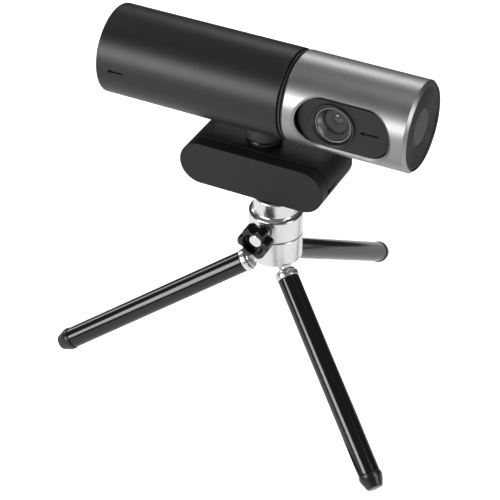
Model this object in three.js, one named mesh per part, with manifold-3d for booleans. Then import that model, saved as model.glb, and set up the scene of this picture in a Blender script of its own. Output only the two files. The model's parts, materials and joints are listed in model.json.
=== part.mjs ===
// Webcam on a small tripod: a tube-shaped camera on a folding clip, screwed onto a head with three legs.
// Millimetres, +Z up. The tube lies along X, the lens looks towards -Y, and the feet stand on z = 0.
import * as THREE from "three";
import { mergeVertices } from "three/addons/utils/BufferGeometryUtils.js";
import Module from "manifold-3d";

const wasm = await Module();
wasm.setup();

// ---------- driving dimensions ----------
const gap = 0.3; // room between neighbouring pieces

// where the tripod's axis stands, so that the origin is the middle of the footprint
const tripodX = 6.04;
const tripodY = -16.3;

// legs
const legCount = 3;
const firstLegAzimuth = 202;
const legSlope = 32; // below the horizontal, in degrees
const legReach = 105.6; // from the tripod's axis to the end of the foot, along the leg
const legRadius = 4.4;
const legBore = 3.5;
const footLength = 6;
const footRadius = 4.7;
const footEndRadius = 3.1;
const footGrip = 7; // how far the rubber foot's plug goes up inside the tube
const collarRadius = 4.8;
const pinRadius = 1;
const pinHalfLength = 4.6;
const pinOut = 6.5; // from the tripod's axis to each leg's hinge pin
const pinBelowMeeting = 1.7; // below the point where the three leg axes meet
const tongueHalf = 2;
const eyeRadius = 2.2;

// hub and head
const hubRadius = 11;
const hubHeight = 11.4;
const hubBelowMeeting = 2.4;
const bossRadius = 8.8;
const bossHeight = 1.3;
const spindleRadius = 4;
const stemRadius = 3;
const housingHeight = 9.8;
const shoulderRound = 1.4;
const platformRadius = 9;
const headHeight = 17.5;
const studRadius = 3.1;
const studRise = 5;
const lockHeight = 5.5; // lock screw's axis above the seam
const lockScrewRadius = 2.7;
const lockScrewEnd = 18.9;
const knobNear = 15.4;
const knobFar = 21.1;
const knobRadius = 6.8;
const knobLobes = 6;
const knobLobeDepth = 0.75;
const knobRecessRadius = 4.5;
const knobRecessDepth = 3.4;

// clip
const clipWidth = 62;
const clipHeight = 18.2;
const clipFront = -13.2; // from the neck's axis
const clipBack = 25;
const lipThickness = 5.6;
const partingGap = 0.4;
const hingeBack = 4.6; // hinge axis ahead of the clip's back edge
const knuckleRadius = 4.3;
const knuckleInner = 13.5;
const knuckleOuter = 24;
const hingePinRadius = 1.2;
const padThickness = 0.9;
const padHalfWidth = 19.7;
const padInset = 3.3; // from the ends of the plate's flat underside
const fingerNotchDepth = 1.7; // how far the clip's jaw opens at its front edge
const fingerNotchLength = 9;
const insertRadius = 4.3; // threaded insert that the tripod's stud goes into
const insertHeight = 6.2;
const insertBossRadius = 5.6; // round boss of the lower leg that holds the insert, and reaches under the lip
const insertBossHeight = 6.9;

// camera
const neckX = -7.8; // from the tripod's axis
const tubeY = 5;
const tubeRadius = 18;
const tubeLength = 130;
const tubeBore = 16.4;
const shellBore = 16.2;
const neckGap = 7.6;
const collarHeight = 4;
const neckRadius = 7.5;
const neckCollarRadius = 7.65;
const spigotRadius = 5.2; // the neck post's foot, which turns in the collar
const neckBoltRadius = 2.5;
const boltHeadRadius = 4.2;
const boltHeadHeight = 2.6;
const nutRadius = 5;
const seamX = 14.1; // start of the lens shell, from the tube's middle
const windowX = 39;
const windowWidth = 38.6;
const windowHeight = 20.6;
const panelFront = 14.3; // flat panel's face, ahead of the tube's axis
const panelThickness = 1.4;
const lensX = 34.6;
const capRecess = 0.7; // end caps sit this far inside the tube's ends
const capSeatRadius = 7.8;
const elementRadius = 2.6;
const portX = -32;
const portWidth = 12.4;
const portHeight = 7.4;
const plugWidth = 9;
const plugHeight = 3.3;

// ---------- derived heights ----------
const slope = THREE.MathUtils.degToRad(legSlope);
const meetingZ = legReach * Math.sin(slope) + footEndRadius * Math.cos(slope);
const hubBottom = meetingZ - hubBelowMeeting;
const seamZ = hubBottom + hubHeight;
const clipZ = seamZ + headHeight;
const tubeZ = clipZ + clipHeight + neckGap + tubeRadius;
const pinZ = meetingZ - pinBelowMeeting;

// ---------- materials ----------
function finish(color, roughness, metalness) {
  return new THREE.MeshStandardMaterial({ color, roughness, metalness });
}
const blackAnodised = finish(0x2c2d2f, 0.45, 0.8);
const silver = finish(0xc9cacb, 0.3, 1);
const blastedSilver = finish(0xb9babb, 0.45, 1);
const chrome = finish(0xe6e6e8, 0.08, 1);
const glossBlack = finish(0x0c0c0d, 0.12, 0.2);
const mattBlack = finish(0x1d1e20, 0.65, 0);
const clipPlastic = finish(0x3a3b3d, 0.6, 0);
const rubber = finish(0x101011, 0.8, 0);
const glass = finish(0x3a4045, 0.04, 0);
const steel = finish(0x9a9a9c, 0.35, 1);
const board = finish(0x12402a, 0.5, 0);
const brass = finish(0xb08d4a, 0.35, 1);
const silicon = finish(0x27303f, 0.15, 0.3);

// ---------- shape helpers ----------
// A closed geometry as a solid that can be joined and cut.
function solid(geometry) {
  const plain = geometry.clone();
  plain.deleteAttribute("normal");
  plain.deleteAttribute("uv");
  const merged = mergeVertices(plain, 1e-3);
  const vertProperties = merged.attributes.position.array;
  const triVerts = new Uint32Array(merged.index.array);
  return new wasm.Manifold(new wasm.Mesh({ numProp: 3, vertProperties, triVerts }));
}

// A solid back as a geometry.
function geometryOf(made) {
  const { vertProperties, triVerts } = made.getMesh();
  const geometry = new THREE.BufferGeometry();
  geometry.setAttribute("position", new THREE.BufferAttribute(vertProperties, 3));
  geometry.setIndex(new THREE.BufferAttribute(triVerts, 1));
  geometry.computeVertexNormals();
  return geometry;
}

function cut(body, ...tools) {
  return geometryOf(tools.reduce((rest, tool) => rest.subtract(solid(tool)), solid(body)));
}

function join(...bodies) {
  return geometryOf(bodies.map(solid).reduce((all, one) => all.add(one)));
}

function common(first, second) {
  return geometryOf(solid(first).intersect(solid(second)));
}

// A turned piece about Z: each point is [radius, z], going up the outside and back down the inside.
function turned(points, sides = 32) {
  const profile = points.map(([radius, z]) => new THREE.Vector2(radius, z));
  return new THREE.LatheGeometry(profile, sides).rotateX(Math.PI / 2);
}

// A solid disc or a ring about Z, from low to high.
function disc(radius, low, high, sides = 24) {
  return turned([[0, low], [radius, low], [radius, high], [0, high]], sides);
}

function ring(outer, inner, low, high, sides = 24) {
  return turned([[inner, low], [outer, low], [outer, high], [inner, high], [inner, low]], sides);
}

const alongX = (geometry) => geometry.rotateY(Math.PI / 2); // +Z becomes +X
const alongFront = (geometry) => geometry.rotateX(Math.PI / 2); // +Z becomes -Y

function box([lowX, lowY, lowZ], [highX, highY, highZ]) {
  const made = new THREE.BoxGeometry(highX - lowX, highY - lowY, highZ - lowZ);
  return made.translate((lowX + highX) / 2, (lowY + highY) / 2, (lowZ + highZ) / 2);
}

// An outline pushed along Z from low to high.
function pushed(shape, low, high, curveSegments = 10) {
  const made = new THREE.ExtrudeGeometry(shape, { depth: high - low, bevelEnabled: false, curveSegments });
  return made.translate(0, 0, low);
}

// An outline with half-round ends, centred on the origin and long in its first direction.
function slotShape(width, height) {
  const radius = height / 2;
  const half = width / 2 - radius;
  const shape = new THREE.Shape();
  shape.moveTo(-half, -radius);
  shape.lineTo(half, -radius);
  shape.absarc(half, 0, radius, -Math.PI / 2, Math.PI / 2, false);
  shape.lineTo(-half, radius);
  shape.absarc(-half, 0, radius, Math.PI / 2, 1.5 * Math.PI, false);
  return shape;
}

// The outline drawn in X and Z, pushed along Y from near (small y) to far.
function pushedBack(shape, near, far, curveSegments) {
  return pushed(shape, -far, -near, curveSegments).rotateX(Math.PI / 2);
}

function addTo(group, name, geometry, material) {
  const mesh = new THREE.Mesh(geometry, material);
  mesh.name = name;
  group.add(mesh);
}

const webcam = new THREE.Group();
const tripod = new THREE.Group();
tripod.position.set(tripodX, tripodY, 0);
webcam.add(tripod);

// ---------- hub: the lower half of the head, with a slot and a pin for each leg ----------
function hingeAt(index) {
  const hinge = new THREE.Group();
  hinge.rotation.z = THREE.MathUtils.degToRad(firstLegAzimuth + (index * 360) / legCount);
  hinge.updateMatrix();
  return hinge;
}

function legSlot(index) {
  const room = eyeRadius + gap;
  const half = tongueHalf + gap;
  const slot = new THREE.Shape();
  slot.moveTo(-room, -12);
  slot.lineTo(16, -12);
  slot.lineTo(16, room - 16 * Math.tan(slope));
  slot.lineTo(room * Math.sin(slope), room * Math.cos(slope));
  slot.absarc(0, 0, room, Math.PI / 2 - slope, Math.PI, false);
  const made = pushedBack(slot, -half, half, 8);
  return made.translate(pinOut, 0, pinZ - seamZ).applyMatrix4(hingeAt(index).matrix);
}

function pinHole(index) {
  const hole = disc(pinRadius + gap, -pinHalfLength - gap, pinHalfLength + gap, 12);
  alongFront(hole).translate(pinOut, 0, pinZ - seamZ);
  return hole.applyMatrix4(hingeAt(index).matrix);
}

function hubGeometry() {
  const low = -hubHeight;
  const edge = 0.5;
  const body = turned([
    [stemRadius + gap, low - bossHeight],
    [bossRadius, low - bossHeight],
    [bossRadius, low],
    [hubRadius - edge, low],
    [hubRadius, low + edge],
    [hubRadius, -edge - gap / 2],
    [hubRadius - edge, -gap / 2],
    [stemRadius + gap, -gap / 2],
    [stemRadius + gap, low - bossHeight],
  ], 36);
  const cuts = [];
  for (let index = 0; index < legCount; index += 1) {
    cuts.push(legSlot(index), pinHole(index));
  }
  return cut(body, ...cuts);
}

const hub = new THREE.Group();
hub.position.z = seamZ;
tripod.add(hub);
addTo(hub, "leg_hub", hubGeometry(), silver);

function spindleGeometry() {
  const top = housingHeight - 0.6;
  return turned([
    [0, -hubHeight - bossHeight + 0.4],
    [stemRadius, -hubHeight - bossHeight + 0.4],
    [stemRadius, gap / 2],
    [spindleRadius, gap / 2],
    [spindleRadius, 3],
    [spindleRadius - 0.6, 3.6], // waist that the lock screw bears on
    [spindleRadius - 0.6, 7.4],
    [spindleRadius, 8],
    [spindleRadius, top],
    [0, top],
  ], 16);
}
addTo(hub, "hub_spindle", spindleGeometry(), steel);

// ---------- legs ----------
// A leg's own frame: the pin is the origin, +X runs down the leg, and its tube lies below the pin.
const pinAlong = pinOut * Math.cos(slope) + pinBelowMeeting * Math.sin(slope);
const tubeDrop = pinOut * Math.sin(slope) - pinBelowMeeting * Math.cos(slope);
const footEnd = legReach - pinAlong;
const tubeEnd = footEnd - footLength;
const stepStart = 11 - pinAlong;
const collarStart = stepStart + 1.3;
const collarEnd = collarStart + 2.3;
const tubeStart = collarEnd + gap;

function tongueGeometry() {
  const flat = new THREE.Shape();
  flat.absarc(0, 0, eyeRadius, Math.PI / 2, -Math.PI / 2, false);
  flat.lineTo(stepStart + 0.6, -eyeRadius - 1.2);
  flat.lineTo(stepStart + 0.6, eyeRadius - 0.7);
  const blade = pushedBack(flat, -tongueHalf, tongueHalf, 9);
  const plugRadius = legBore - gap;
  const plug = turned([
    [0, stepStart],
    [3.6, stepStart],
    [4.1, stepStart + 0.4],
    [4.1, collarStart - gap],
    [plugRadius, collarStart - gap],
    [plugRadius, tubeStart + 8],
    [0, tubeStart + 8],
  ], 18);
  alongX(plug).translate(0, 0, -tubeDrop);
  const eye = alongFront(disc(pinRadius + gap, -tongueHalf - 1, tongueHalf + 1, 12));
  return cut(join(blade, plug), eye);
}

function collarGeometry() {
  const round = 0.4;
  return alongX(turned([
    [legBore, collarStart],
    [collarRadius - round, collarStart],
    [collarRadius, collarStart + round],
    [collarRadius, collarEnd - round],
    [collarRadius - round, collarEnd],
    [legBore, collarEnd],
    [legBore, collarStart],
  ], 24)).translate(0, 0, -tubeDrop);
}

function footGeometry() {
  const start = tubeEnd + gap;
  return alongX(turned([
    [0, start - footGrip],
    [legBore - gap, start - footGrip],
    [legBore - gap, start],
    [footRadius - 0.5, start],
    [footRadius, start + 0.5],
    [footRadius, start + 2],
    [footEndRadius, footEnd],
    [0, footEnd],
  ], 20)).translate(0, 0, -tubeDrop);
}

for (let index = 0; index < legCount; index += 1) {
  const turn = hingeAt(index);
  const number = index + 1;
  const leg = new THREE.Group();
  leg.position.set(pinOut, 0, pinZ);
  leg.rotation.y = slope;
  turn.add(leg);
  tripod.add(turn);
  const pin = alongFront(disc(pinRadius, -pinHalfLength, pinHalfLength, 12));
  addTo(leg, `leg_pin_${number}`, pin, steel);
  addTo(leg, `leg_tongue_${number}`, tongueGeometry(), steel);
  addTo(leg, `leg_collar_${number}`, collarGeometry(), silver);
  const tube = alongX(ring(legRadius, legBore, tubeStart, tubeEnd)).translate(0, 0, -tubeDrop);
  addTo(leg, `leg_tube_${number}`, tube, glossBlack);
  addTo(leg, `leg_foot_${number}`, footGeometry(), rubber);
}

// ---------- head: the housing that turns on the hub, its stud, and the lock screw with its knob ----------
const head = new THREE.Group();
head.position.z = seamZ;
tripod.add(head);

function housingGeometry() {
  const edge = 0.5;
  const rim = 0.9;
  const bore = spindleRadius + gap;
  const points = [
    [0, housingHeight - gap],
    [bore, housingHeight - gap],
    [bore, gap / 2],
    [hubRadius - edge, gap / 2],
    [hubRadius, gap / 2 + edge],
  ];
  for (let step = 0; step <= 4; step += 1) {
    const angle = (step / 4) * (Math.PI / 2);
    const radius = hubRadius - shoulderRound * (1 - Math.cos(angle));
    points.push([radius, housingHeight - shoulderRound * (1 - Math.sin(angle))]);
  }
  points.push([platformRadius, housingHeight + 0.3]);
  points.push([platformRadius, headHeight - gap - rim]);
  points.push([platformRadius - rim, headHeight - gap]);
  points.push([studRadius + gap, headHeight - gap]);
  points.push([studRadius + gap, housingHeight + 1]);
  points.push([0, housingHeight + 1]);
  const screwHole = alongFront(disc(lockScrewRadius + gap, spindleRadius, hubRadius + 2, 20));
  return cut(turned(points, 36), screwHole.translate(0, 0, lockHeight));
}
addTo(head, "head_housing", housingGeometry(), silver);

const studLow = housingHeight + 1 + gap;
const studHigh = headHeight + studRise;
const stud = turned([
  [0, studLow],
  [studRadius, studLow],
  [studRadius, studHigh - 0.8],
  [studRadius - 0.8, studHigh],
  [0, studHigh],
], 20);
addTo(head, "clip_stud", stud, steel);

const lockScrew = alongFront(turned([
  [0, spindleRadius],
  [1.4, spindleRadius],
  [1.4, spindleRadius + 1.5],
  [lockScrewRadius, spindleRadius + 2.2],
  [lockScrewRadius, lockScrewEnd - 0.4],
  [lockScrewRadius - 0.4, lockScrewEnd],
  [0, lockScrewEnd],
], 20)).translate(0, 0, lockHeight);
addTo(head, "lock_screw", lockScrew, chrome);

function knobGeometry() {
  const outline = new THREE.Shape();
  const points = [];
  const steps = knobLobes * 8;
  for (let step = 0; step < steps; step += 1) {
    const angle = (step / steps) * 2 * Math.PI;
    const radius = knobRadius - knobLobeDepth * (1 - Math.cos(knobLobes * angle));
    points.push(new THREE.Vector2(radius * Math.cos(angle), radius * Math.sin(angle)));
  }
  outline.setFromPoints(points);
  const body = pushed(outline, knobNear, knobFar);
  const recess = disc(knobRecessRadius, knobFar - knobRecessDepth, knobFar + 1);
  const hole = disc(lockScrewRadius + gap, knobNear - 1, knobFar + 1, 20);
  return alongFront(cut(body, recess, hole)).translate(0, 0, lockHeight);
}
addTo(head, "lock_knob", knobGeometry(), glossBlack);

// ---------- clip: a lower leg on the stud, and an upper plate that hinges on it ----------
const clip = new THREE.Group();
clip.position.set(neckX, tubeY, clipZ); // its own origin is where the neck stands
const insertX = -neckX;
const insertY = -tubeY;
tripod.add(clip);
const half = clipHeight / 2;
const legTop = half - partingGap / 2;
const plateLow = half + partingGap / 2;
const plateFront = clipFront + lipThickness + gap;
const hingeY = clipBack - hingeBack;
const slabBack = hingeY - knuckleRadius - gap;

// The lower or the upper half of a pill-shaped outline, in X and Z.
function halfPill(upper) {
  const straight = clipWidth / 2 - half;
  const side = upper ? 1 : -1;
  const parting = upper ? plateLow : legTop;
  const meet = Math.asin((side * (parting - half)) / half);
  const shape = new THREE.Shape();
  if (upper) {
    shape.absarc(straight, half, half, meet, Math.PI / 2, false);
    shape.absarc(-straight, half, half, Math.PI / 2, Math.PI - meet, false);
  } else {
    shape.absarc(-straight, half, half, Math.PI + meet, 1.5 * Math.PI, false);
    shape.absarc(straight, half, half, 1.5 * Math.PI, 2 * Math.PI - meet, false);
  }
  return shape;
}

// A hinge knuckle between two places along X, with a web that runs ahead to its slab.
function knuckle(low, high, webLow, webHigh) {
  const round = alongX(disc(knuckleRadius, low, high)).translate(0, hingeY, half);
  const web = box([low, slabBack - 2, webLow], [high, hingeY, webHigh]);
  return join(round, web);
}

const hingeHole = alongX(disc(hingePinRadius + gap, -knuckleOuter - 2, knuckleOuter + 2, 16));
hingeHole.translate(0, hingeY, half);

function clipLegGeometry() {
  const front = plateFront;
  const slab = pushedBack(halfPill(false), front, slabBack, 10);
  const hinge = knuckle(-knuckleInner, knuckleInner, half - knuckleRadius, legTop);
  const notch = new THREE.Shape();
  notch.moveTo(front - 1, legTop - fingerNotchDepth);
  notch.lineTo(front + fingerNotchLength, legTop + 0.1);
  notch.lineTo(front + fingerNotchLength, legTop + 1);
  notch.lineTo(front - 1, legTop + 1);
  const fingerNotch = pushed(notch, -clipWidth, clipWidth);
  fingerNotch.rotateX(Math.PI / 2).rotateZ(Math.PI / 2); // drawn in Y and Z, pushed along X
  const roomHalf = padHalfWidth + gap;
  const roomBack = slabBack - padInset + gap;
  const padRoom = box([-roomHalf, -2, legTop - padThickness], [roomHalf, roomBack, legTop + 1]);
  const insertHole = disc(insertRadius + gap, -1, insertHeight + 0.4).translate(insertX, insertY, 0);
  const boss = disc(insertBossRadius, 0, insertBossHeight, 32).translate(insertX, insertY, 0);
  const hinged = join(slab, hinge, boss);
  return cut(hinged, fingerNotch, padRoom, insertHole, hingeHole);
}
addTo(clip, "clip_leg", clipLegGeometry(), clipPlastic);
const insert = ring(insertRadius, studRadius + gap, 0, insertHeight).translate(insertX, insertY, 0);
addTo(clip, "thread_insert", insert, brass);
const legPadLow = legTop - padThickness + gap;
const legPad = box([-padHalfWidth, -1.7, legPadLow], [padHalfWidth, slabBack - padInset, legTop]);
addTo(clip, "clip_leg_pad", legPad, rubber);
const hingePin = alongX(disc(hingePinRadius, -knuckleOuter, knuckleOuter, 16));
addTo(clip, "clip_hinge_pin", hingePin.translate(0, hingeY, half), steel);

function clipPlateGeometry() {
  const slab = pushedBack(halfPill(true), plateFront, slabBack, 10);
  const inner = knuckleInner + gap;
  const right = knuckle(inner, knuckleOuter, plateLow, half + knuckleRadius);
  const left = knuckle(-knuckleOuter, -inner, plateLow, half + knuckleRadius);
  const roomHalf = padHalfWidth + gap;
  const inset = padInset - gap;
  const padRoom = box(
    [-roomHalf, plateFront + inset, plateLow - 1],
    [roomHalf, slabBack - inset, plateLow + padThickness],
  );
  const boltHole = disc(neckBoltRadius + gap, 0, clipHeight + 1, 20);
  const boltRoom = disc(boltHeadRadius + 0.4, 0, plateLow + boltHeadHeight + 0.6);
  return cut(join(slab, right, left), padRoom, boltRoom, boltHole, hingeHole);
}
addTo(clip, "clip_plate", clipPlateGeometry(), clipPlastic);

// A plate pad, open around the bolt's head.
const platePadSlab = box(
  [-padHalfWidth, plateFront + padInset, plateLow],
  [padHalfWidth, slabBack - padInset, plateLow + padThickness - gap],
);
const boltOpening = disc(boltHeadRadius + 0.8, 0, clipHeight);
const platePad = cut(platePadSlab, boltOpening);
addTo(clip, "clip_plate_pad", platePad, rubber);

const pill = slotShape(clipWidth, clipHeight);
const lipSlab = pushedBack(pill, clipFront, clipFront + lipThickness, 10).translate(0, 0, half);
const lipBack = clipFront + lipThickness;
const lipPadLeft = -24; // beside the boss that holds the insert
const lipPadRight = 0.8;
const lipPadLow = 2.5;
const lipPadHigh = 8;
const lipRoom = box(
  [lipPadLeft - gap, lipBack - padThickness, lipPadLow - gap],
  [lipPadRight + gap, lipBack + 1, lipPadHigh + gap],
);
const bossRoom = disc(insertBossRadius + gap, -1, insertBossHeight + gap, 32).translate(insertX, insertY, 0);
addTo(clip, "clip_lip", cut(lipSlab, lipRoom, bossRoom), clipPlastic);
const lipPad = box(
  [lipPadLeft, lipBack - padThickness + gap, lipPadLow],
  [lipPadRight, lipBack, lipPadHigh],
);
addTo(clip, "clip_lip_pad", lipPad, rubber);

const collarBore = spigotRadius + gap;
const neckCollar = turned([
  [collarBore, 0.05],
  [neckCollarRadius, 0.05],
  [neckCollarRadius, collarHeight - 1],
  [neckCollarRadius - 0.5, collarHeight - gap],
  [collarBore, collarHeight - gap],
  [collarBore, 0.05],
], 28).translate(0, 0, clipHeight);
addTo(clip, "neck_collar", neckCollar, glossBlack);

// ---------- camera: the black tube on its neck ----------
const camera = new THREE.Group();
camera.position.set(neckX, tubeY, tubeZ);
tripod.add(camera);
const tubeLeft = -tubeLength / 2;
const tubeRight = tubeLength / 2;
const blackEnd = seamX - 1.4;
const plateTop = -tubeRadius - neckGap; // clip's top, seen from the tube's axis

function neckPostGeometry() {
  const bore = neckBoltRadius + gap;
  const post = turned([
    [bore, plateTop + gap],
    [spigotRadius, plateTop + gap],
    [spigotRadius, plateTop + collarHeight],
    [neckRadius, plateTop + collarHeight],
    [neckRadius, -tubeRadius + 3],
    [bore, -tubeRadius + 3],
    [bore, plateTop + gap],
  ], 28);
  const saddle = alongX(disc(tubeRadius + gap, -20, 20, 48));
  return cut(post, saddle);
}
addTo(camera, "neck_post", neckPostGeometry(), mattBlack);

const boltLow = plateTop - clipHeight + plateLow;
const boltHeadTop = boltLow + boltHeadHeight;
const neckBolt = turned([
  [0, boltLow + gap],
  [boltHeadRadius, boltLow + gap],
  [boltHeadRadius, boltHeadTop],
  [neckBoltRadius, boltHeadTop],
  [neckBoltRadius, -tubeBore + 5],
  [0, -tubeBore + 5],
], 20);
addTo(camera, "neck_bolt", neckBolt, steel);

const nut = cut(
  disc(nutRadius, -tubeBore + 1.4, -tubeBore + 4.4, 6),
  disc(neckBoltRadius + gap, -tubeRadius, 0, 20),
);
addTo(camera, "neck_nut", nut, steel);

// Keyhole-shaped microphone opening: a round hole with a thin slit that runs on along +X.
function micOpening(x, length) {
  const dot = alongFront(disc(0.8, 10, 20, 12)).translate(x, 0, 0);
  const slit = box([x, -20, -0.3], [x + length, -10, 0.3]);
  return join(dot, slit);
}

function blackTubeGeometry() {
  const edge = 0.5;
  const tube = alongX(turned([
    [tubeBore, tubeLeft],
    [tubeRadius - edge, tubeLeft],
    [tubeRadius, tubeLeft + edge],
    [tubeRadius, blackEnd - 0.2],
    [tubeRadius - 0.2, blackEnd],
    [tubeBore, blackEnd],
    [tubeBore, tubeLeft],
  ], 48));
  const port = pushedBack(slotShape(portWidth, portHeight), 10, 20, 6).translate(portX, 0, 0);
  const boltHole = disc(neckBoltRadius + gap, -20, -10, 20);
  return cut(tube, micOpening(-58.9, 6.4), port, boltHole);
}
addTo(camera, "camera_tube", blackTubeGeometry(), blackAnodised);

// An end cap with a shallow round seat in the middle of its outer face, turned about X.
function endCap(face, seatRadius) {
  return alongX(turned([
    [0, face - 3],
    [shellBore - gap, face - 3],
    [shellBore - gap, face - 0.3],
    [shellBore - gap - 0.3, face],
    [seatRadius, face],
    [seatRadius, face - 1],
    [0, face - 1],
  ]));
}
const capFace = tubeRight - capRecess;
addTo(camera, "left_end_cap", endCap(capFace, capSeatRadius).rotateZ(Math.PI), mattBlack);
const badge = alongX(disc(capSeatRadius - gap, capFace - 1 + gap, capFace - 0.1));
addTo(camera, "left_cap_centre", badge.clone().rotateZ(Math.PI), mattBlack);

// Carrier: a bar of segment section in the bottom of the tube, cut out for the neck's nut.
function carrierGeometry() {
  const round = alongX(disc(tubeBore - gap, -46, 6, 36));
  const lower = box([-46, -20, -20], [6, 20, -8.6]);
  const nutRoom = disc(6, -20, 0, 20);
  return cut(common(round, lower), nutRoom);
}
addTo(camera, "board_carrier", carrierGeometry(), mattBlack);
addTo(camera, "main_board", box([-45, -12.5, -8.3], [5, 12.5, -7.1]), board);
addTo(camera, "main_chip", box([-26, -5, -6.8], [-16, 5, -5.6]), mattBlack);

function portPlateGeometry() {
  const plate = box([portX - 8, 13.6, -5.2], [portX + 8, 15, 5.2]);
  const opening = slotShape(plugWidth + 2 * gap, plugHeight + 2 * gap);
  const hole = pushedBack(opening, 10, 20, 6).translate(portX, 0, 0);
  return cut(plate, hole);
}
addTo(camera, "port_plate", portPlateGeometry(), mattBlack);

function socketGeometry() {
  const shell = pushedBack(slotShape(plugWidth, plugHeight), 7.6, 15, 6);
  const mouth = pushedBack(slotShape(plugWidth - 0.6, plugHeight - 0.7), 8.6, 16, 6);
  const tongue = box([-3.3, 8, -0.35], [3.3, 14.4, 0.35]);
  return join(cut(shell, mouth), tongue).translate(portX, 0, 0);
}
addTo(camera, "usb_c_socket", socketGeometry(), steel);
addTo(camera, "left_microphone", box([-59.4, -15.6, -1.6], [-54.6, -14.4, 1.6]), steel);

const seamRing = alongX(turned([
  [14.2, blackEnd - 1.6],
  [tubeBore - gap, blackEnd - 1.6],
  [tubeBore - gap, blackEnd + gap],
  [tubeRadius - 0.8, blackEnd + gap],
  [tubeRadius - 0.8, seamX - gap],
  [14.2, seamX - gap],
  [14.2, blackEnd - 1.6],
], 40));
addTo(camera, "seam_ring", seamRing, mattBlack);

const spindleEnd = seamX + 7;
const tiltSpindle = alongX(turned([
  [0, 7],
  [tubeBore - gap, 7],
  [tubeBore - gap, 9.4],
  [5, 9.4],
  [5, spindleEnd - 2],
  [4.2, spindleEnd - 2],
  [4.2, spindleEnd - 1],
  [5, spindleEnd - 1],
  [5, spindleEnd],
  [0, spindleEnd],
], 24));
addTo(camera, "tilt_spindle", tiltSpindle, mattBlack);

// ---------- lens module: the silver shell, which turns about the tube's axis ----------
function lensShellGeometry() {
  const edge = 0.9;
  const shell = alongX(turned([
    [shellBore, seamX],
    [tubeRadius - edge, seamX],
    [tubeRadius, seamX + edge],
    [tubeRadius, tubeRight - edge],
    [tubeRadius - edge, tubeRight],
    [shellBore, tubeRight],
    [shellBore, seamX],
  ], 48));
  const opening = pushedBack(slotShape(windowWidth, windowHeight), -20, -5, 12);
  return cut(shell, opening.translate(windowX, 0, 0));
}
addTo(camera, "lens_shell", lensShellGeometry(), blastedSilver);

const bulkhead = alongX(ring(shellBore - gap, 5 + gap, seamX + 1.4, seamX + 3.6));
addTo(camera, "shell_bulkhead", bulkhead, mattBlack);
addTo(camera, "right_end_cap", endCap(capFace, capSeatRadius), mattBlack);
addTo(camera, "right_cap_centre", badge, mattBlack);

function panelGeometry() {
  const outline = slotShape(windowWidth - 2 * gap, windowHeight - 2 * gap);
  const slab = pushedBack(outline, -panelFront, panelThickness - panelFront, 12).translate(windowX, 0, 0);
  const lensHole = alongFront(disc(8.3, 10, 20, 32)).translate(lensX, 0, 0);
  return cut(slab, lensHole, micOpening(46.4, 7.2));
}
addTo(camera, "lens_panel", panelGeometry(), mattBlack);

// Lens pieces are turned about the lens's own axis, with +Z becoming the way it looks.
function lensPiece(name, geometry, material) {
  addTo(camera, name, alongFront(geometry).translate(lensX, 0, 0), material);
}
const bezel = turned([
  [7.5, 9],
  [8, 9],
  [8, panelFront + gap],
  [8.9, panelFront + gap],
  [8.9, panelFront + 0.6],
  [8.6, panelFront + 0.8],
  [7.5, panelFront + 0.5],
  [7.5, 9],
]);
lensPiece("lens_bezel", bezel, mattBlack);
const cone = turned([
  [5.3, 11],
  [7.2, 11],
  [7.2, 14.3],
  [6.9, 14.3],
  [5.3, 11.5],
  [5.3, 11],
]);
lensPiece("lens_cone", cone, blackAnodised);
lensPiece("lens_glass", disc(5, 10.6, 11.3), glass);
const barrel = turned([
  [3, 0.6],
  [5, 0.6],
  [5, 10.2],
  [3.2, 10.2],
  [3, 7],
  [3, 0.6],
], 20);
lensPiece("lens_barrel", barrel, mattBlack);

// A lens element: flat back, domed front.
function element(radius, low, rim, dome) {
  const points = [[0, low], [radius, low]];
  for (let step = 0; step <= 4; step += 1) {
    const along = (step / 4) * (Math.PI / 2);
    points.push([radius * Math.cos(along), rim + dome * Math.sin(along)]);
  }
  return turned(points, 16);
}
lensPiece("front_element", element(elementRadius, 7.4, 8.2, 0.9), glass);
lensPiece("rear_element", element(elementRadius, 2.4, 3.2, 0.6), glass);

const focusBlock = cut(
  box([lensX - 6.5, -7.6, -6.5], [lensX + 6.5, -0.6, 6.5]),
  alongFront(disc(5 + gap, -2, 12)).translate(lensX, 0, 0),
);
addTo(camera, "focus_motor", focusBlock, mattBlack);
addTo(camera, "image_sensor", box([lensX - 3.8, -0.3, -2.9], [lensX + 3.8, 0.6, 2.9]), silicon);
addTo(camera, "sensor_board", box([22, 0.9, -10], [56, 2.1, 10]), board);
addTo(camera, "right_microphone", box([46, -12.6, -1.6], [50.8, -11.4, 1.6]), steel);

function chassisGeometry() {
  const round = alongX(disc(shellBore - gap, seamX + 8, 60, 36));
  const rear = box([seamX + 8, 2.4, -20], [60, 20, 20]);
  return common(round, rear);
}
addTo(camera, "lens_chassis", chassisGeometry(), mattBlack);

export default webcam;
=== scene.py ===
# %% [markdown]
# # A webcam on a small tripod
# The object is a tube camera on a folding clip, and the clip stands on a head with three legs.
# The frame that the CAD model gives holds every size and place. Each visible piece is rebuilt here as a
# finer mesh in the same place, rides on the same body, and gets a finish made of nodes.

# %% Load the frame
import json
import math
import bmesh
import bpy
import numpy as np
from mathutils import Matrix, Vector

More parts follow.
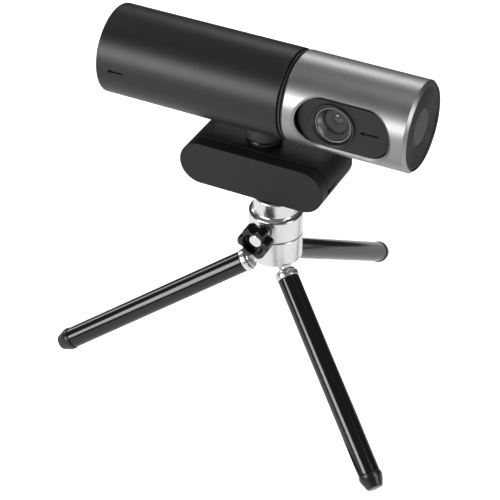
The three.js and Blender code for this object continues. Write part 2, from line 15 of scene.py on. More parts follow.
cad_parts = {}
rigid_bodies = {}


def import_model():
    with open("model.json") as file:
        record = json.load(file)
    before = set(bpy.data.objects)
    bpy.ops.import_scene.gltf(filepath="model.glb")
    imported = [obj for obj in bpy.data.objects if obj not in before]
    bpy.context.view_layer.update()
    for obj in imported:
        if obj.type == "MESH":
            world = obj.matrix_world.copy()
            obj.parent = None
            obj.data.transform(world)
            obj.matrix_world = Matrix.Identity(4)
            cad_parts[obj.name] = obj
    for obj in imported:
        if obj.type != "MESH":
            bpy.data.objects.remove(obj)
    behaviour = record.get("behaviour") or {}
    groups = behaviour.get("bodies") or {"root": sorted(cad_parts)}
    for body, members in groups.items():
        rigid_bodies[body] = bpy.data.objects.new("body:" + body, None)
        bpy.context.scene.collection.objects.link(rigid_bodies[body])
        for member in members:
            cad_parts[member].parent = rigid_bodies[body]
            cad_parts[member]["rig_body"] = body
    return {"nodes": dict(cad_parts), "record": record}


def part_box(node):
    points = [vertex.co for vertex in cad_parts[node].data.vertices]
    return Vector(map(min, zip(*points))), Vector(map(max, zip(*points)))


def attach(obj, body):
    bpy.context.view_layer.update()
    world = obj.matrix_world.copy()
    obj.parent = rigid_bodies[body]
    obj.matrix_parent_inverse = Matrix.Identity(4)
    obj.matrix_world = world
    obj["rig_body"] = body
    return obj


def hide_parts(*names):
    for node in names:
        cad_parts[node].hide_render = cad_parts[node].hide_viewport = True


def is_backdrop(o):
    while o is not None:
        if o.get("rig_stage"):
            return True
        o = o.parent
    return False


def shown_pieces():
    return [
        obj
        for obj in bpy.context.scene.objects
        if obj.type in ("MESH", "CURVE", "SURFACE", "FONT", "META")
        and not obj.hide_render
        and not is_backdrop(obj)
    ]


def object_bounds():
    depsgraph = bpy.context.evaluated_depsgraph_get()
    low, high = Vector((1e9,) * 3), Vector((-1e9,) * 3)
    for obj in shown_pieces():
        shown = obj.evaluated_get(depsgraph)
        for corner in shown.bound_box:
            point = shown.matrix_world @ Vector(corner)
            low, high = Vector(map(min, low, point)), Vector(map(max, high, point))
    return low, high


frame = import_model()
cad_low, cad_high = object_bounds()
MM = 0.001
print("CAD box in mm:", [round(v / MM, 1) for v in (cad_high - cad_low)])

# %% [markdown]
# ## Reading sizes from the frame
# A box around a CAD node says where a piece starts and ends. A leg lies at a slant, so its box says little:
# there the long axis of the node's own points is found instead, with a singular value decomposition.


# %% Sizes of a node in millimetres
class Span:
    """A node's lowest and highest corner and its middle, in millimetres."""

    def __init__(self, node):
        low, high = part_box(node)
        self.x0, self.y0, self.z0 = (v / MM for v in low)
        self.x1, self.y1, self.z1 = (v / MM for v in high)
        self.cx, self.cy, self.cz = ((a + b) / 2 for a, b in zip(low / MM, high / MM))


def body_of(node):
    """The CAD body that a node rides on."""
    return frame["nodes"][node]["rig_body"]


tube = Span("camera_tube")
shell = Span("lens_shell")
tube_radius = (tube.z1 - tube.z0) / 2
print("tube radius:", round(tube_radius, 2), "left end:", round(tube.x0, 2), "seam:", round(shell.x0, 2))

# %% [markdown]
# ## One way to make a mesh
# Nearly every piece here is a row of rings joined by quads: a turned part has round rings, and a moulded
# part has rings that follow its outline. Rings give full control of every rounded edge, so one function
# makes them all. Holes are cut afterwards with a Boolean, as a drill or a milling cutter would.


# %% Rings joined into a mesh
def skin(name, rings, loop=False, bands=None):
    """Joins rings of points, in millimetres, with quads. A loop joins the last ring to the first."""
    count = len(rings[0])
    points = np.concatenate(rings) * MM
    steps = len(rings) if loop else len(rings) - 1
    faces, groups = [], []
    for step in range(steps):
        here, there = step * count, ((step + 1) % len(rings)) * count
        for i in range(count):
            j = (i + 1) % count
            faces.append((here + i, here + j, there + j, there + i))
            groups.append(bands[step] if bands else 0)
    if not loop:
        faces.append(tuple(range(count)))
        faces.append(tuple(range((len(rings) - 1) * count, len(rings) * count)))
        groups += [bands[0] if bands else 0, bands[-1] if bands else 0]
    mesh = bpy.data.meshes.new(name)
    mesh.from_pydata([tuple(p) for p in points], [], faces)
    mesh.polygons.foreach_set("material_index", groups)
    work = bmesh.new()
    work.from_mesh(mesh)
    bmesh.ops.recalc_face_normals(work, faces=work.faces)
    work.to_mesh(mesh)
    work.free()
    made = bpy.data.objects.new(name, mesh)
    bpy.context.scene.collection.objects.link(made)
    return made


def rounded(points, closed=False, steps=4):
    """Rounds the corners of an outline. A corner is (across, along), (.., round) or (.., round, band)."""
    full = [tuple(p) + (0, 0)[len(p) - 2:] for p in points]
    done = []
    for i, (u, v, size, band) in enumerate(full):
        inner = closed or 0 < i < len(full) - 1
        if not size or not inner:
            done.append((u, v, band))
            continue
        here = Vector((u, v))
        before = Vector(full[i - 1][:2]) - here
        after = Vector(full[(i + 1) % len(full)][:2]) - here
        start = here + before.normalized() * min(size, before.length * 0.49)
        end = here + after.normalized() * min(size, after.length * 0.49)
        for step in range(steps + 1):
            t = step / steps
            p = start * (1 - t) ** 2 + here * 2 * t * (1 - t) + end * t * t
            done.append((p.x, p.y, band if step else full[i - 1][3]))
    return done


def placed(points, origin, direction):
    """Points with their own +Z turned to a direction and moved to an origin."""
    turn = Vector(direction).to_track_quat("Z", "Y").to_matrix()
    return np.asarray(points) @ np.array(turn).T + np.array(origin)


def turned(name, profile, origin=(0, 0, 0), direction=(0, 0, 1), sides=128, stations=0):
    """A piece turned on a lathe from a profile of (radius, along) corners.

    The profile closes on itself if it ends where it starts.
    """
    loop = profile[0][:2] == profile[-1][:2]
    outline = rounded(profile[:-1] if loop else profile, closed=loop)
    if stations:
        outline = stationed(outline, stations)
    outline = [p for p in outline if p[0] > 1e-6]
    angles = np.arange(sides) * 2 * math.pi / sides
    rings = [
        placed(np.stack([r * np.cos(angles), r * np.sin(angles), np.full(sides, z)], 1), origin, direction)
        for r, z, _ in outline
    ]
    return skin(name, rings, loop, [band for _, _, band in outline])


def stationed(outline, spacing):
    """Adds points to long straight runs, so that a cut changes the shading only close by."""
    done = []
    for (r, z, band), (r2, z2, _) in zip(outline, outline[1:] + outline[:1]):
        parts = max(1, int(math.hypot(r2 - r, z2 - z) / spacing)) if abs(z2 - z) > spacing else 1
        done += [(r + (r2 - r) * k / parts, z + (z2 - z) * k / parts, band) for k in range(parts)]
    return done


# %% Outlines and moulded slabs
def pill(width, height, steps=24):
    """An outline with half-round ends, long in its first direction, as corner points about its middle."""
    radius, half = height / 2, (width - height) / 2
    arc = np.linspace(-math.pi / 2, math.pi / 2, steps)
    right = [(half + radius * math.cos(a), radius * math.sin(a)) for a in arc]
    return right + [(-x, -y) for x, y in right]


def grown(outline, amount):
    """The outline moved outwards along its normals by an amount, or inwards where it is negative."""
    points = np.array([p[:2] for p in outline], float)
    before = points - np.roll(points, 1, 0)
    after = np.roll(points, -1, 0) - points
    before /= np.linalg.norm(before, axis=1)[:, None]
    after /= np.linalg.norm(after, axis=1)[:, None]
    normal = np.stack([before[:, 1] + after[:, 1], -before[:, 0] - after[:, 0]], 1)
    normal /= np.linalg.norm(normal, axis=1)[:, None]
    lean = (normal[:, 0] * after[:, 1] - normal[:, 1] * after[:, 0]).clip(0.3)
    return points + normal * (amount / lean)[:, None]


def slab(name, outline, near, far, edge, across=0.0, up=0.0, far_edge=None):
    """An outline in X and Z pushed along Y from near to far, with rounded rims."""
    far_edge = edge if far_edge is None else far_edge
    layers = []
    quarter = np.linspace(0, math.pi / 2, 5)
    for place, size, side in ((near, edge, 1), (far, far_edge, -1)):
        turn = [(-size * (1 - math.sin(a)), side * size * (1 - math.cos(a))) for a in quarter]
        rim = [(inset, place + deep) for inset, deep in turn] if size else [(0.0, place)]
        layers += rim if side == 1 else rim[::-1]
    rings = []
    for inset, y in layers:
        flat = grown(outline, inset)
        rings.append(np.stack([flat[:, 0] + across, np.full(len(flat), y), flat[:, 1] + up], 1))
    return skin(name, rings)


def block(name, low, high):
    """A plain block between two corners, for cutting and joining."""
    (x0, y0, z0), (x1, y1, z1) = low, high
    rings = [np.array([(x0, y, z0), (x1, y, z0), (x1, y, z1), (x0, y, z1)], float) for y in (y0, y1)]
    return skin(name, rings)


# %% Cutting, joining and smoothing
def settle(piece):
    """Turns a piece's modifiers into its mesh."""
    bpy.context.view_layer.update()
    seen = piece.evaluated_get(bpy.context.evaluated_depsgraph_get())
    mesh = bpy.data.meshes.new_from_object(seen)
    piece.modifiers.clear()
    old, piece.data = piece.data, mesh
    bpy.data.meshes.remove(old)


def combine(piece, tools, operation):
    """Cuts tools from a piece, or joins them to it, and removes the tools."""
    for tool in tools:
        step = piece.modifiers.new("shape", "BOOLEAN")
        step.operation = operation
        step.solver = "EXACT"
        step.object = tool
    settle(piece)
    for tool in tools:
        bpy.data.objects.remove(tool)
    work = bmesh.new()
    work.from_mesh(piece.data)
    bmesh.ops.remove_doubles(work, verts=work.verts, dist=1e-7)
    work.to_mesh(piece.data)
    work.free()
    return piece


def show(piece, node, finishes, bevel=0.0, sharp=34):
    """Smooths a piece, gives it its finishes, and lets it stand for its CAD node on the same body."""
    piece.data.materials.clear()
    for finish in finishes if isinstance(finishes, list) else [finishes]:
        piece.data.materials.append(finish)
    if bevel:
        step = piece.modifiers.new("edge", "BEVEL")
        step.width = bevel * MM
        step.segments = 3
        step.limit_method = "ANGLE"
        step.angle_limit = math.radians(35)
        step.harden_normals = False
        settle(piece)
    piece.data.shade_smooth()
    piece.data.set_sharp_from_angle(angle=math.radians(sharp))
    step = piece.modifiers.new("shading", "WEIGHTED_NORMAL")
    step.keep_sharp = True
    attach(piece, body_of(node))
    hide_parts(node)
    print(f"{piece.name}: {len(piece.data.polygons)} faces for {node}")
    return piece


slot_of = {row["node"]: row["material_slot"] for row in frame["record"]["subparts"]}
print("nodes with a finish in the record:", len(slot_of))

# %% [markdown]
# ## Shader maths in plain Python
# A finish is a tree of nodes. Wrapping a socket in a small class lets an expression such as `1 - mask * 0.5`
# add its Math nodes, so a finish reads like a recipe. Colours go through Mix, because Math turns them grey.


# %% A socket that can be added, multiplied and turned round
class Link:
    """A node's output. Arithmetic on it adds Math nodes to the same tree."""

    def __init__(self, finish, socket):
        self.finish = finish
        self.socket = socket

    def math(self, operation, *values):
        settings = {"operation": operation}
        return self.finish.node("ShaderNodeMath", settings, dict(enumerate(values)))

    def __add__(self, other):
        return self.math("ADD", self, other)

    def __sub__(self, other):
        return self.math("SUBTRACT", self, other)

    def __mul__(self, other):
        return self.math("MULTIPLY", self, other)

    def __rsub__(self, other):
        return self.math("SUBTRACT", other, self)

    __radd__ = __add__
    __rmul__ = __mul__


class Finish:
    """A material with one Principled shader, whose uniform values are set on the shader's own sockets."""

    def __init__(self, name, color, roughness, metallic=0.0, coat=0.0, coat_roughness=0.05, specular=0.5):
        self.material = bpy.data.materials.new(name)
        self.material.use_nodes = True
        self.tree = self.material.node_tree
        self.shader = next(n for n in self.tree.nodes if n.type == "BSDF_PRINCIPLED")
        self.color = (*color, 1.0) if isinstance(color, tuple) else (color, color, color, 1.0)
        sockets = {
            "Base Color": self.color,
            "Roughness": roughness,
            "Metallic": metallic,
            "Coat Weight": coat,
            "Coat Roughness": coat_roughness,
            "Specular IOR Level": specular,
        }
        for socket, value in sockets.items():
            self.shader.inputs[socket].default_value = value
        self.place = self.node("ShaderNodeTexCoord", {}, {}, "Object")

    def node(self, kind, settings, values, out=0):
        """Adds a node: its settings first, then values or links for its sockets, and gives one output."""
        made = self.tree.nodes.new(kind)
        for key, value in settings.items():
            if key == "stops":
                for element, (position, tone) in zip(made.color_ramp.elements, value):
                    element.position = position
                    element.color = (tone, tone, tone, 1.0)
            else:
                setattr(made, key, value)
        for key, value in values.items():
            if isinstance(value, Link):
                self.tree.links.new(value.socket, made.inputs[key])
            else:
                made.inputs[key].default_value = value
        return Link(self, made.outputs[out])

    def noise(self, size, detail=2.0, stretch=None):
        """Soft noise whose patches are about so many millimetres across."""
        where = self.place
        if stretch:
            where = self.node("ShaderNodeMapping", {}, {"Vector": where, "Scale": stretch})
        values = {"Vector": where, "Scale": 1 / (size * MM), "Detail": detail}
        return self.node("ShaderNodeTexNoise", {}, values)

    def mix(self, factor, first, second):
        """A colour between two greys or colours."""
        settings = {"data_type": "RGBA"}
        tones = [(*c, 1.0) if isinstance(c, tuple) else (c, c, c, 1.0) for c in (first, second)]
        return self.node("ShaderNodeMix", settings, {0: factor, 6: tones[0], 7: tones[1]}, 2)

    def drive(self, **links):
        """Links to the shader's sockets that change over the surface."""
        for socket, link in links.items():
            self.tree.links.new(link.socket, self.shader.inputs[socket.replace("_", " ")])
        return self

    def relief(self, height, depth, strength=1.0):
        """Fine relief, as deep as so many millimetres."""
        values = {"Height": height, "Distance": depth * MM, "Strength": strength}
        return self.drive(Normal=self.node("ShaderNodeBump", {}, values))


# %% [markdown]
# ## The finishes
# Bead-blasted metal sparkles: a fine grain in the relief and a little in the roughness scatters the light
# of a soft lamp over a wide band. Moulded plastic has the spark-eroded grain of its mould and picks up a
# faint sheen where fingers touch it. Turned parts keep rings from the tool, which show as stretched noise.


# %% Blasted, satin and polished metals
def blasted(name, color, roughness, metallic, grain=0.34, depth=0.006, spread=0.10):
    made = Finish(name, color, roughness, metallic)
    fine = made.noise(grain, 3.0)
    cloud = made.noise(9.0, 2.0)
    made.drive(Roughness=roughness - spread / 2 + fine * spread + (cloud - 0.5) * 0.06)
    dark = tuple(c * 0.86 for c in made.color[:3])
    light = tuple(min(1.0, c * 1.14) for c in made.color[:3])
    made.drive(Base_Color=made.mix(fine * 0.7 + cloud * 0.3, dark, light))
    return made.relief(fine, depth).material


def satin(name, color, roughness, metallic=1.0, along=(1.0, 1.0, 22.0), depth=0.0012):
    made = Finish(name, color, roughness, metallic)
    lines = made.noise(2.2, 3.0, along)
    smudge = made.noise(6.0, 2.0)
    made.drive(Roughness=roughness - 0.05 + lines * 0.07 + smudge * 0.05)
    made.drive(Base_Color=made.mix(smudge, tuple(c * 0.93 for c in made.color[:3]), made.color[:3]))
    return made.relief(lines, depth).material


finishes = {
    "black_anodised": blasted("black_anodised", 0.040, 0.44, 0.85),
    "blasted_silver": blasted("blasted_silver", 0.34, 0.40, 1.0, grain=0.34, depth=0.011, spread=0.20),
    "satin_silver": satin("satin_silver", 0.82, 0.24),
    "steel": satin("steel", 0.52, 0.30),
    "chrome": satin("chrome", 0.82, 0.10, depth=0.0004),
    "brass": satin("brass", (0.66, 0.48, 0.20), 0.30),
    "cone_metal": satin("cone_metal", 0.34, 0.28, along=(1.0, 30.0, 1.0)),
}
polished = satin("polished_edge", 0.90, 0.16, along=(14.0, 1.0, 1.0), depth=0.0004)
print("metals:", len(finishes) + 1)


# %% Moulded plastics, rubber and paint
def moulded(name, color, roughness, grain=0.45, depth=0.010, coat=0.0, specular=0.5, wear=0.05):
    made = Finish(name, color, roughness, coat=coat, specular=specular)
    cells = {"Vector": made.place, "Scale": 1 / (grain * MM)}
    pits = made.node("ShaderNodeTexVoronoi", {}, cells, "Distance")
    fine = made.noise(grain * 0.8, 3.0)
    touched = made.noise(12.0, 3.0)
    made.drive(Roughness=roughness + (touched - 0.5) * wear * 2 + (fine - 0.5) * wear)
    dark = tuple(c * 0.88 for c in made.color[:3])
    light = tuple(c * 1.12 for c in made.color[:3])
    made.drive(Base_Color=made.mix(fine * 0.5 + touched * 0.5, dark, light))
    return made.relief(pits * 0.6 + fine * 0.4, depth).material


def glossy(name, color, roughness, coat=0.0, ripple=1.6, depth=0.002):
    made = Finish(name, color, roughness, coat=coat, coat_roughness=0.04)
    skin_of_paint = made.noise(ripple, 2.0)
    dust = made.noise(0.25, 2.0)
    specks = made.node("ShaderNodeValToRGB", {"stops": [(0.66, 0.0), (0.74, 1.0)]}, {"Fac": dust})
    made.drive(Roughness=roughness + specks * 0.10 + (skin_of_paint - 0.5) * 0.03)
    made.drive(Base_Color=made.mix(specks, color, tuple(min(1.0, c * 1.5) for c in made.color[:3])))
    return made.relief(skin_of_paint, depth).material


finishes |= {
    "clip_plastic": moulded("clip_plastic", 0.009, 0.58, grain=0.40, depth=0.006, specular=0.32),
    "matt_black": moulded("matt_black", 0.016, 0.60),
    "panel_black": moulded("panel_black", 0.011, 0.55, grain=0.30, depth=0.004, specular=0.35),
    "bezel_black": moulded("bezel_black", 0.008, 0.30, grain=0.30, depth=0.002),
    "turned_black": moulded("turned_black", 0.013, 0.52, grain=0.30, depth=0.002, specular=0.32),
    # Painted shade: the flanks of the end caps' grooves get this darker, duller black, so that the grooves
    # read as dark rings.
    "groove_black": moulded("groove_black", 0.002, 0.75, grain=0.30, depth=0.002, specular=0.10),
    "cap_centre": moulded("cap_centre", 0.022, 0.55, grain=0.30, depth=0.003, specular=0.35),
    "rubber": moulded("rubber", 0.013, 0.80, grain=0.6, depth=0.02),
    "foot_rubber": moulded("foot_rubber", 0.007, 0.30, grain=0.5, depth=0.004),
    "gloss_black_plastic": glossy("gloss_black_plastic", 0.006, 0.16),
    "gloss_black_metal": glossy("gloss_black_metal", 0.006, 0.10),
    "leg_gloss_black": glossy("leg_gloss_black", 0.005, 0.13),
}
print("finishes so far:", len(finishes))

# %% Circuit board, sensor and glass
def board_finish():
    made = Finish("circuit_board", (0.012, 0.09, 0.04), 0.35)
    layout = {"Vector": made.place, "Scale": 260.0, "Mortar Size": 0.03}
    traces = made.node("ShaderNodeTexBrick", {}, layout, "Fac")
    made.drive(Base_Color=made.mix(traces, (0.012, 0.09, 0.04), (0.03, 0.17, 0.07)))
    made.drive(Roughness=0.38 - traces * 0.1)
    return made.relief(traces, 0.02).material


def silicon_finish():
    made = Finish("silicon", (0.05, 0.06, 0.09), 0.12, coat=1.0)
    cells = made.node("ShaderNodeTexChecker", {}, {"Vector": made.place, "Scale": 4000.0}, "Fac")
    made.drive(Base_Color=made.mix(cells, (0.04, 0.05, 0.08), (0.07, 0.08, 0.11)))
    return made.relief(cells, 0.001).material


def glass_finish():
    """A thin flat glass, nearly clear, so that what stands behind it stays sharp."""
    made = Finish("lens_glass", 0.01, 0.03, coat=1.0, specular=1.0)
    made.shader.inputs["Alpha"].default_value = 0.2
    dust = made.noise(1.5, 3.0)
    made.drive(Roughness=0.02 + dust * 0.05)
    return made.relief(dust, 0.0004).material


def dome_painted_reflection():
    """The front element is dark all through. Its black middle and a lighter bluish ring round it are painted
    into its colour; the ring is a painted reflection of its coating.
    """
    made = Finish("dome_painted_reflection", 0.02, 0.05, coat=1.0, specular=0.8)
    lens = Span("front_element")
    offset = made.node("ShaderNodeVectorMath", {"operation": "SUBTRACT"},
                       {0: made.place, 1: (lens.cx * MM, lens.y0 * MM, lens.cz * MM)})
    reach = made.node("ShaderNodeVectorMath", {"operation": "LENGTH"}, {0: offset}, "Value")
    # Painted reflection: about a millimetre from the middle, the colour turns from black to a lighter bluish
    # grey.
    rings = made.node("ShaderNodeValToRGB", {"stops": [(0.30, 0.0), (0.42, 1.0)]}, {"Fac": reach * 400.0})
    made.drive(Base_Color=made.mix(rings, (0.002, 0.002, 0.003), (0.05, 0.045, 0.06)))
    dust = made.noise(0.8, 2.0)
    made.drive(Roughness=0.04 + dust * 0.04)
    return made.material


finishes |= {"circuit_board": board_finish(), "silicon": silicon_finish(), "lens_glass": glass_finish()}
dome_finish = dome_painted_reflection()
print("finishes:", len(finishes) + 2, "missing:", sorted(set(slot_of.values()) - set(finishes)))


def fine(piece, node, bevel=0.0, finish=None, sharp=34):
    """The piece stands for its node in the finish that the record names, or in a given one."""
    return show(piece, node, finish or finishes[slot_of[node]], bevel, sharp)


# %% [markdown]
# ## The black tube
# The camera's body is a drawn aluminium tube, turned true and bead-blasted before it was anodised black.
# It is turned here from its profile, then drilled and milled: a keyhole slot for the microphone on the
# front, an oval for the cable's plug at the back, and a hole for the neck's bolt underneath.

# %% Tube, microphone slot and port
tube_middle = (0.0, tube.cy, tube.cz)
along_x = (1.0, 0.0, 0.0)
ahead = (0.0, -1.0, 0.0)
bore_radius = tube_radius - 1.6
seat_radius = tube_radius - 1.15
seat_depth = 3.3
tube_casing = turned("tube_casing", [
    (seat_radius, tube.x0, 0.1),
    (tube_radius, tube.x0, 0.5),
    (tube_radius, tube.x1, 0.3),
    (bore_radius, tube.x1, 0.2),
    (bore_radius, tube.x0 + seat_depth),
    (seat_radius, tube.x0 + seat_depth),
    (seat_radius, tube.x0),
], tube_middle, along_x, sides=256, stations=4.0)


def keyhole(name, x, length, half_height, eye, deep=8.0, surface=None):
    """A tool for a round hole with a thin slit that runs on along X."""
    surface = tube_radius if surface is None else surface
    turn = np.linspace(0.9, 2 * math.pi - 0.9, 17)
    outline = [(x + eye * math.cos(a), eye * math.sin(a)) for a in turn]
    end = np.linspace(-math.pi / 2, math.pi / 2, 7)
    outline += [(x + length - half_height * (1 - math.cos(a)), half_height * math.sin(a)) for a in end]
    near, far = tube.cy - surface - 2.0, tube.cy - surface + deep
    return slab(name, outline, near, far, 0.0, up=tube.cz)


microphone = Span("left_microphone")
port = Span("port_plate")
neck = Span("neck_bolt")
combine(tube_casing, [
    keyhole("slot", microphone.x0 + 0.6, 6.0, 0.33, 0.62),
    slab("port", pill(12.4, 7.4), tube.cy + 8.0, tube.cy + 22.0, 0.0, across=port.cx, up=tube.cz),
    turned("hole", [(0, tube.z0 - 1), (2.8, tube.z0 - 1), (2.8, tube.z0 + 6), (0, tube.z0 + 6)],
           (neck.cx, neck.cy, 0), sides=48),
], "DIFFERENCE")
fine(tube_casing, "camera_tube")

# %% [markdown]
# ## The silver shell
# The lens sits in its own shell, which turns about the tube to tilt the view. It is silver, blasted like
# the tube, and both ends and the rim of its window are cut afterwards with a diamond tool, so those narrow
# faces are bright. The window is an oval milled straight in from the front. Its chamfer has the same width
# all round, so it rises and falls with the round surface: the tool that cuts it here is lofted the same way.

# %% Shell with a window that has a bright chamfer
edge = tube_radius - seat_radius
shell_bore = tube_radius - 1.8
lens_casing = turned("lens_casing", [
    (shell_bore, shell.x0, 0.1, 1),
    (tube_radius - edge, shell.x0, 0.08, 1),
    (tube_radius, shell.x0 + edge, 0.08, 0),
    (tube_radius, shell.x1 - edge, 0.08, 1),
    (seat_radius, shell.x1, 0.0, 0),
    (seat_radius, shell.x1 - seat_depth, 0.0, 0),
    (shell_bore, shell.x1 - seat_depth, 0.0, 0),
    (shell_bore, shell.x0, 0.0, 1),
], tube_middle, along_x, sides=256, stations=2.5)

panel = Span("lens_panel")
window_wide = panel.x1 - panel.x0 + 0.6
window_high = panel.z1 - panel.z0 + 0.6
rim = 1.0


def on_surface(outline, sink):
    """Points of an outline laid on the tube's round front, sunk in by an amount."""
    deep = np.sqrt(tube_radius**2 - np.clip(outline[:, 1], -17.0, 17.0) ** 2)
    return np.stack([outline[:, 0] + panel.cx, tube.cy - deep + sink, outline[:, 1] + tube.cz], 1)


def window_tool():
    opening = pill(window_wide, window_high, 40)
    straight, flared, over = grown(opening, 0.0), grown(opening, rim), grown(opening, rim * 2)
    inside = on_surface(straight, rim)
    inside[:, 1] = tube.cy - 5.0
    outside = on_surface(over, -rim)
    outside[:, 1] = tube.cy - tube_radius - 4.0
    rings = [inside, on_surface(straight, rim), on_surface(flared, 0.0), on_surface(over, -rim), outside]
    return skin("window", rings, bands=[0, 1, 1, 0])


tool = window_tool()
for finish in (finishes["blasted_silver"], polished):
    tool.data.materials.append(finish)
    lens_casing.data.materials.append(finish)
combine(lens_casing, [tool], "DIFFERENCE")
show(lens_casing, "lens_shell", [finishes["blasted_silver"], polished], sharp=30)

# %% [markdown]
# ## Seam ring and end caps
# A dark ring shows in the gap where the shell turns on the tube. The round ends are closed by pressed-in
# caps, turned with a pointed tool: each of the concentric grooves is real here, because light that runs
# round them is what makes the cap look machined. The flanks of the grooves also get a darker, duller black,
# which is painted shade. The disc in the middle is smooth and plain.

# %% Seam ring, caps and their discs
seam = Span("seam_ring")
seam_gasket = turned("seam_gasket", [
    (14.2, seam.x0), (16.1, seam.x0), (16.1, seam.x0 + 1.9), (tube_radius - 0.8, seam.x0 + 1.9, 0.1),
    (tube_radius - 0.8, seam.x1, 0.1), (14.2, seam.x1), (14.2, seam.x0),
], tube_middle, along_x, sides=192)
fine(seam_gasket, "seam_ring")


def cap(name, node, side):
    """An end cap with turned grooves. Side is 1 for the right end and -1 for the left one."""
    place = Span(node)
    face = (place.x1 if side > 0 else -place.x0)
    cap_radius = seat_radius - 0.1
    profile = [(0, face - 3), (cap_radius, face - 3), (cap_radius, face, 0.25)]
    grooves, first, pitch, deep = 14, 15.6, 0.54, 0.32
    for k in range(grooves):
        outer = first - k * pitch
        profile += [(outer, face, 0, 1), (outer - pitch * 0.3, face - deep, 0, 1)]
        profile += [(outer - pitch * 0.55, face, 0, 0)]
    profile += [(first - grooves * pitch, face), (7.8, face, 0.1), (7.8, face - 1), (0, face - 1)]
    return turned(name, profile, tube_middle, (side, 0, 0), sides=192)


def cap_disc(name, node, side):
    place = Span(node)
    low, high = (place.x0, place.x1) if side > 0 else (-place.x1, -place.x0)
    profile = [(0, low), (7.5, low), (7.5, high, 0.3), (1.0, high)]
    return turned(name, profile, tube_middle, (side, 0, 0), sides=128)


for side, word in ((1, "right"), (-1, "left")):
    # The second finish goes on the groove flanks, as painted shade in the grooves.
    turned_finishes = [finishes["turned_black"], finishes["groove_black"]]
    show(cap(f"{word}_turned_cap", f"{word}_end_cap", side), f"{word}_end_cap", turned_finishes, sharp=20)
    fine(cap_disc(f"{word}_cap_disc", f"{word}_cap_centre", side), f"{word}_cap_centre")

# %% [markdown]
# ## The lens and its panel
# Behind the window lies a flat dark panel with a second microphone slot. A gloss ring stands round the
# lens, a metal cone leads in to a flat glass, and behind the glass a black barrel holds the small domed
# element. All of them are turned about the lens's own axis.

# %% Panel
lens_axis = (Span("lens_glass").cx, tube.cy, tube.cz)
fascia = slab("lens_fascia", pill(panel.x1 - panel.x0, panel.z1 - panel.z0, 40), panel.y0, panel.y1, 0.15,
              across=panel.cx, up=tube.cz)
right_microphone = Span("right_microphone")
combine(fascia, [
    turned("hole", [(0, 10), (8.3, 10), (8.3, 20), (0, 20)], lens_axis, ahead, sides=128),
    keyhole("slot", right_microphone.x0 + 0.4, 6.6, 0.36, 0.62, deep=10.0),
], "DIFFERENCE")
fine(fascia, "lens_panel")


# %% Lens pieces
def lens_part(name, node, profile, finish=None, sides=128):
    return fine(turned(name, profile, lens_axis, ahead, sides), node, finish=finish)


lens_part("lens_surround", "lens_bezel", [
    (7.4, 9.5), (8.0, 9.5), (8.0, 14.6), (8.85, 14.6, 0.1), (8.85, 15.1, 0.25), (8.35, 15.1, 0.25),
    (7.4, 13.9, 0.2), (7.4, 9.5),
])
lens_part("lens_hood_cone", "lens_cone", [
    (5.15, 11.35), (5.15, 11.0), (7.25, 11.0), (7.25, 14.0), (6.95, 14.0, 0.1), (6.85, 13.4, 0.3),
    (5.4, 11.7, 0.2), (5.15, 11.35),
])
lens_part("lens_window_glass", "lens_glass", [(0, 10.6), (5.0, 10.6, 0.1), (5.0, 11.3, 0.15), (1.0, 11.3)])
lens_part("lens_housing", "lens_barrel", [
    (3.0, 0.6), (5.0, 0.6), (5.0, 10.3, 0.2), (2.9, 10.3, 0.1), (2.6, 9.9, 0.1), (2.35, 9.9, 0.1),
    (2.35, 9.3), (3.0, 9.0), (3.0, 0.6),
], finish=finishes["cap_centre"])
dome = [(2.3 * math.cos(a), 8.6 + 1.1 * math.sin(a)) for a in np.linspace(0, 1.5, 16)]
lens_part("lens_front_dome", "front_element", [(0.5, 7.6), (2.9, 7.6), (2.9, 8.4), *dome], finish=dome_finish)

# %% [markdown]
# ## Neck and clip
# The camera turns on a short neck: a post that fits the tube's round underside, over a gloss collar on the
# clip. The clip is two moulded halves that hinge at the back, with rubber pads inside their jaws. Both
# halves come from one pill-shaped outline, split at the parting line, so each is an outline pushed back
# along Y with rounded rims. The hinge knuckles are joined on, and the pin's hole is drilled through them.

# %% Neck post and collar
post = Span("neck_post")
collar = Span("neck_collar")
neck_axis = (neck.cx, neck.cy, 0.0)
swivel_post = turned("swivel_post", [
    (2.8, post.z0), (5.2, post.z0), (5.2, collar.z1 + 0.3), (7.5, collar.z1 + 0.3, 0.35), (7.5, post.z1 + 3),
    (2.8, post.z1 + 3), (2.8, post.z0),
], neck_axis, sides=128)
saddle = turned("saddle", [(0, -20), (tube_radius + 0.08, -20), (tube_radius + 0.08, 20), (0, 20)],
                tube_middle, along_x, sides=256)
fine(combine(swivel_post, [saddle], "DIFFERENCE"), "neck_post")
swivel_collar = turned("swivel_collar", [
    (5.5, collar.z0), (7.05, collar.z0, 0.25), (7.62, collar.z1 - 1.1, 0.5), (7.35, collar.z1, 0.35),
    (5.5, collar.z1), (5.5, collar.z0),
], neck_axis, sides=128)
fine(swivel_collar, "neck_collar")

# %% Clip sizes
lip = Span("clip_lip")
hinge = Span("clip_hinge_pin")
plate_pad = Span("clip_plate_pad")
leg_pad = Span("clip_leg_pad")
lip_pad = Span("clip_lip_pad")
clip_width, clip_height = lip.x1 - lip.x0, lip.z1 - lip.z0
slab_front = Span("clip_plate").y0
knuckle_radius = 4.3
slab_back = hinge.cy - knuckle_radius - 0.3


def half_pill(upper):
    """The half of the clip's outline above or below the parting line, about the outline's middle."""
    radius = clip_height / 2
    straight = clip_width / 2 - radius
    parting = (plate_pad.z0 if upper else leg_pad.z1) - lip.cz
    meet = math.asin(abs(parting) / radius)
    side = 1 if upper else -1
    arc = np.linspace(meet, math.pi / 2, 28)
    right = [(straight + radius * math.cos(a), side * radius * math.sin(a)) for a in arc]
    outline = right + [(-u, v) for u, v in right[::-1]]
    return outline if upper else outline[::-1]


